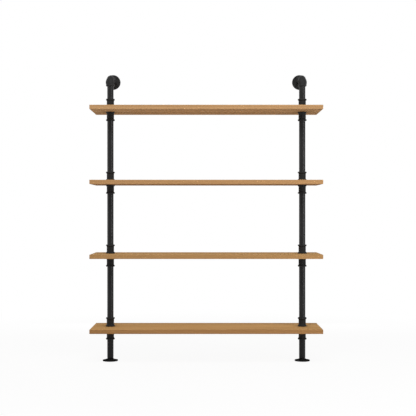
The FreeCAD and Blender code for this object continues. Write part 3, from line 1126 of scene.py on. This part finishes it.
class SHELVING_OT_thread_pipes(bpy.types.Operator):
    """Cut the thread that shows on the foot pipes and wall pipes"""

    bl_idname = "shelving.thread_pipes"
    bl_label = "Thread Foot and Wall Pipes"
    bl_options = {"REGISTER", "UNDO"}

    def execute(self, context):
        unit = context.scene.shelving
        foot = coat_material("coated_foot_pipe", unit.coat, PIPE_COAT, draw_marks)
        arm = coat_material("coated_wall_pipe", unit.coat, PIPE_COAT, lambda w: draw_marks(w, True))
        for side in SIDES:
            for where, material in (("foot", foot), ("wall", arm)):
                node = f"{side}_{where}_pipe"
                low, high = box_of(node)
                length = high.y - low.y if where == "wall" else high.z - low.z
                seat = seat_of(node, where == "wall")
                name = f"{side}_threaded_{where}_pipe"
                mesh = threaded_pipe_mesh(name, seat, length, unit.threads)
                add_piece(mesh, node, material)
        return {"FINISHED"}


class SHELVING_OT_turn_couplings(bpy.types.Operator):
    """Make the sixteen beaded couplings"""

    bl_idname = "shelving.turn_couplings"
    bl_label = "Make Couplings"
    bl_options = {"REGISTER", "UNDO"}

    def execute(self, context):
        unit = context.scene.shelving
        material = coat_material("cast_coupling", unit.coat, CAST_COAT, bead_edges)
        spots = [f"{where}_shelf_{shelf}" for shelf in SHELVES for where in ("under", "over")]
        for count, (side, place) in enumerate(product(SIDES, spots)):
            node = f"{side}_coupling_{place}"
            turned = 0.9 + 2.4 * count  # no two seams face the same way
            mesh = coupling_mesh(f"{side}_beaded_coupling_{place}", node, turned, unit)
            add_piece(mesh, node, material)
        return {"FINISHED"}


class SHELVING_OT_cast_elbows(bpy.types.Operator):
    """Make the two beaded elbows"""

    bl_idname = "shelving.cast_elbows"
    bl_label = "Make Elbows"
    bl_options = {"REGISTER", "UNDO"}

    def execute(self, context):
        unit = context.scene.shelving
        material = coat_material(
            "cast_elbow", unit.coat, CAST_COAT,
            lambda w: elbow_edges(w, unit.couplings.bead_length),
        )
        for side in SIDES:
            centre_x = UPRIGHT_X if side == "right" else -UPRIGHT_X
            mesh = elbow_mesh(f"{side}_beaded_elbow", centre_x, unit)
            add_piece(mesh, f"{side}_elbow", material)
        return {"FINISHED"}


class SHELVING_OT_coat_flanges(bpy.types.Operator):
    """Coat the floor flanges and wall flanges"""

    bl_idname = "shelving.coat_flanges"
    bl_label = "Coat Flanges"
    bl_options = {"REGISTER", "UNDO"}

    def execute(self, context):
        coat = context.scene.shelving.coat
        for where, finish in FLANGE_COATS.items():
            material = coat_material(
                f"cast_{where}_flange", coat, finish, lambda w: flange_edges(w, where == "wall"),
            )
            for side in SIDES:
                dress(f"{side}_{where}_flange", material)
        return {"FINISHED"}


class SHELVING_OT_drive_screws(bpy.types.Operator):
    """Drive four countersunk screws into each flange"""

    bl_idname = "shelving.drive_screws"
    bl_label = "Drive Screws"
    bl_options = {"REGISTER", "UNDO"}

    def execute(self, context):
        unit = context.scene.shelving
        sizes = unit.screws
        material = coat_material("blackened_screw", unit.coat, SCREW_COAT, driver_specks)
        for side, where in product(SIDES, FLANGE_COATS):
            node = f"{side}_{where}_flange"
            seat = seat_of(node, where == "wall")
            for number in range(4):
                angle = math.pi / 4 + number * math.pi / 2
                across = sizes.circle * math.cos(angle)
                along = sizes.circle * math.sin(angle)
                placed = seat @ Matrix.Translation((across, along, 0.0))
                turned = 0.7 + 1.9 * number + middle_of(node).x  # no two recesses lie alike
                mesh = screw_mesh(f"{side}_{where}_screw_{number + 1}", placed, turned, sizes)
                add_piece(mesh, None, material)
        return {"FINISHED"}


class SHELVING_OT_set_stage(bpy.types.Operator):
    """Lay the floor, hang the lamps and set the camera"""

    bl_idname = "shelving.set_stage"
    bl_label = "Set Stage"
    bl_options = {"REGISTER", "UNDO"}

    def execute(self, context):
        scene = context.scene
        settings = scene.shelving.stage
        lay_floor(scene, settings)
        light_room(scene, settings)
        for name, place, target, size, power in LAMPS:
            lamp = add_lamp(name, place, target, size, getattr(settings, power))
            lamp.visible_glossy = name != "low_lamp"  # the coat doesn't mirror the low lamp
        set_camera(scene, settings)
        scene.view_settings.view_transform = "Standard"
        return {"FINISHED"}


# ------------------------ panel and registration

BUILD_ORDER = (
    SHELVING_OT_finish_boards,
    SHELVING_OT_coat_pipes,
    SHELVING_OT_thread_pipes,
    SHELVING_OT_turn_couplings,
    SHELVING_OT_cast_elbows,
    SHELVING_OT_coat_flanges,
    SHELVING_OT_drive_screws,
    SHELVING_OT_set_stage,
)


class SHELVING_PT_sidebar(bpy.types.Panel):
    """Builds the unit piece by piece"""

    bl_label = "Pipe Shelving Unit"
    bl_space_type = "VIEW_3D"
    bl_region_type = "UI"
    bl_category = "Shelving"

    def draw(self, context):
        layout = self.layout
        settings = context.scene.shelving
        for operator in BUILD_ORDER:
            layout.operator(operator.bl_idname)
        for group in ShelvingSettings.__annotations__:
            owner = getattr(settings, group)
            box = layout.box()
            box.label(text=group.capitalize())
            for name in owner.__annotations__:
                box.prop(owner, name)


CLASSES = (
    CouplingSettings, ElbowSettings, ThreadSettings, ScrewSettings, TimberSettings, CoatSettings,
    StageSettings, ShelvingSettings, *BUILD_ORDER, SHELVING_PT_sidebar,
)


def register():
    """Registers the settings, operators and panel."""
    for item in CLASSES:
        bpy.utils.register_class(item)
    bpy.types.Scene.shelving = PointerProperty(type=ShelvingSettings)


def unregister():
    """Takes away what register added."""
    del bpy.types.Scene.shelving
    for item in reversed(CLASSES):
        bpy.utils.unregister_class(item)


def main():
    """Builds the whole unit in order."""
    register()
    bpy.ops.shelving.finish_boards()
    bpy.ops.shelving.coat_pipes()
    bpy.ops.shelving.thread_pipes()
    bpy.ops.shelving.turn_couplings()
    bpy.ops.shelving.cast_elbows()
    bpy.ops.shelving.coat_flanges()
    bpy.ops.shelving.drive_screws()
    bpy.ops.shelving.set_stage()


if __name__ == "__main__":
    main()
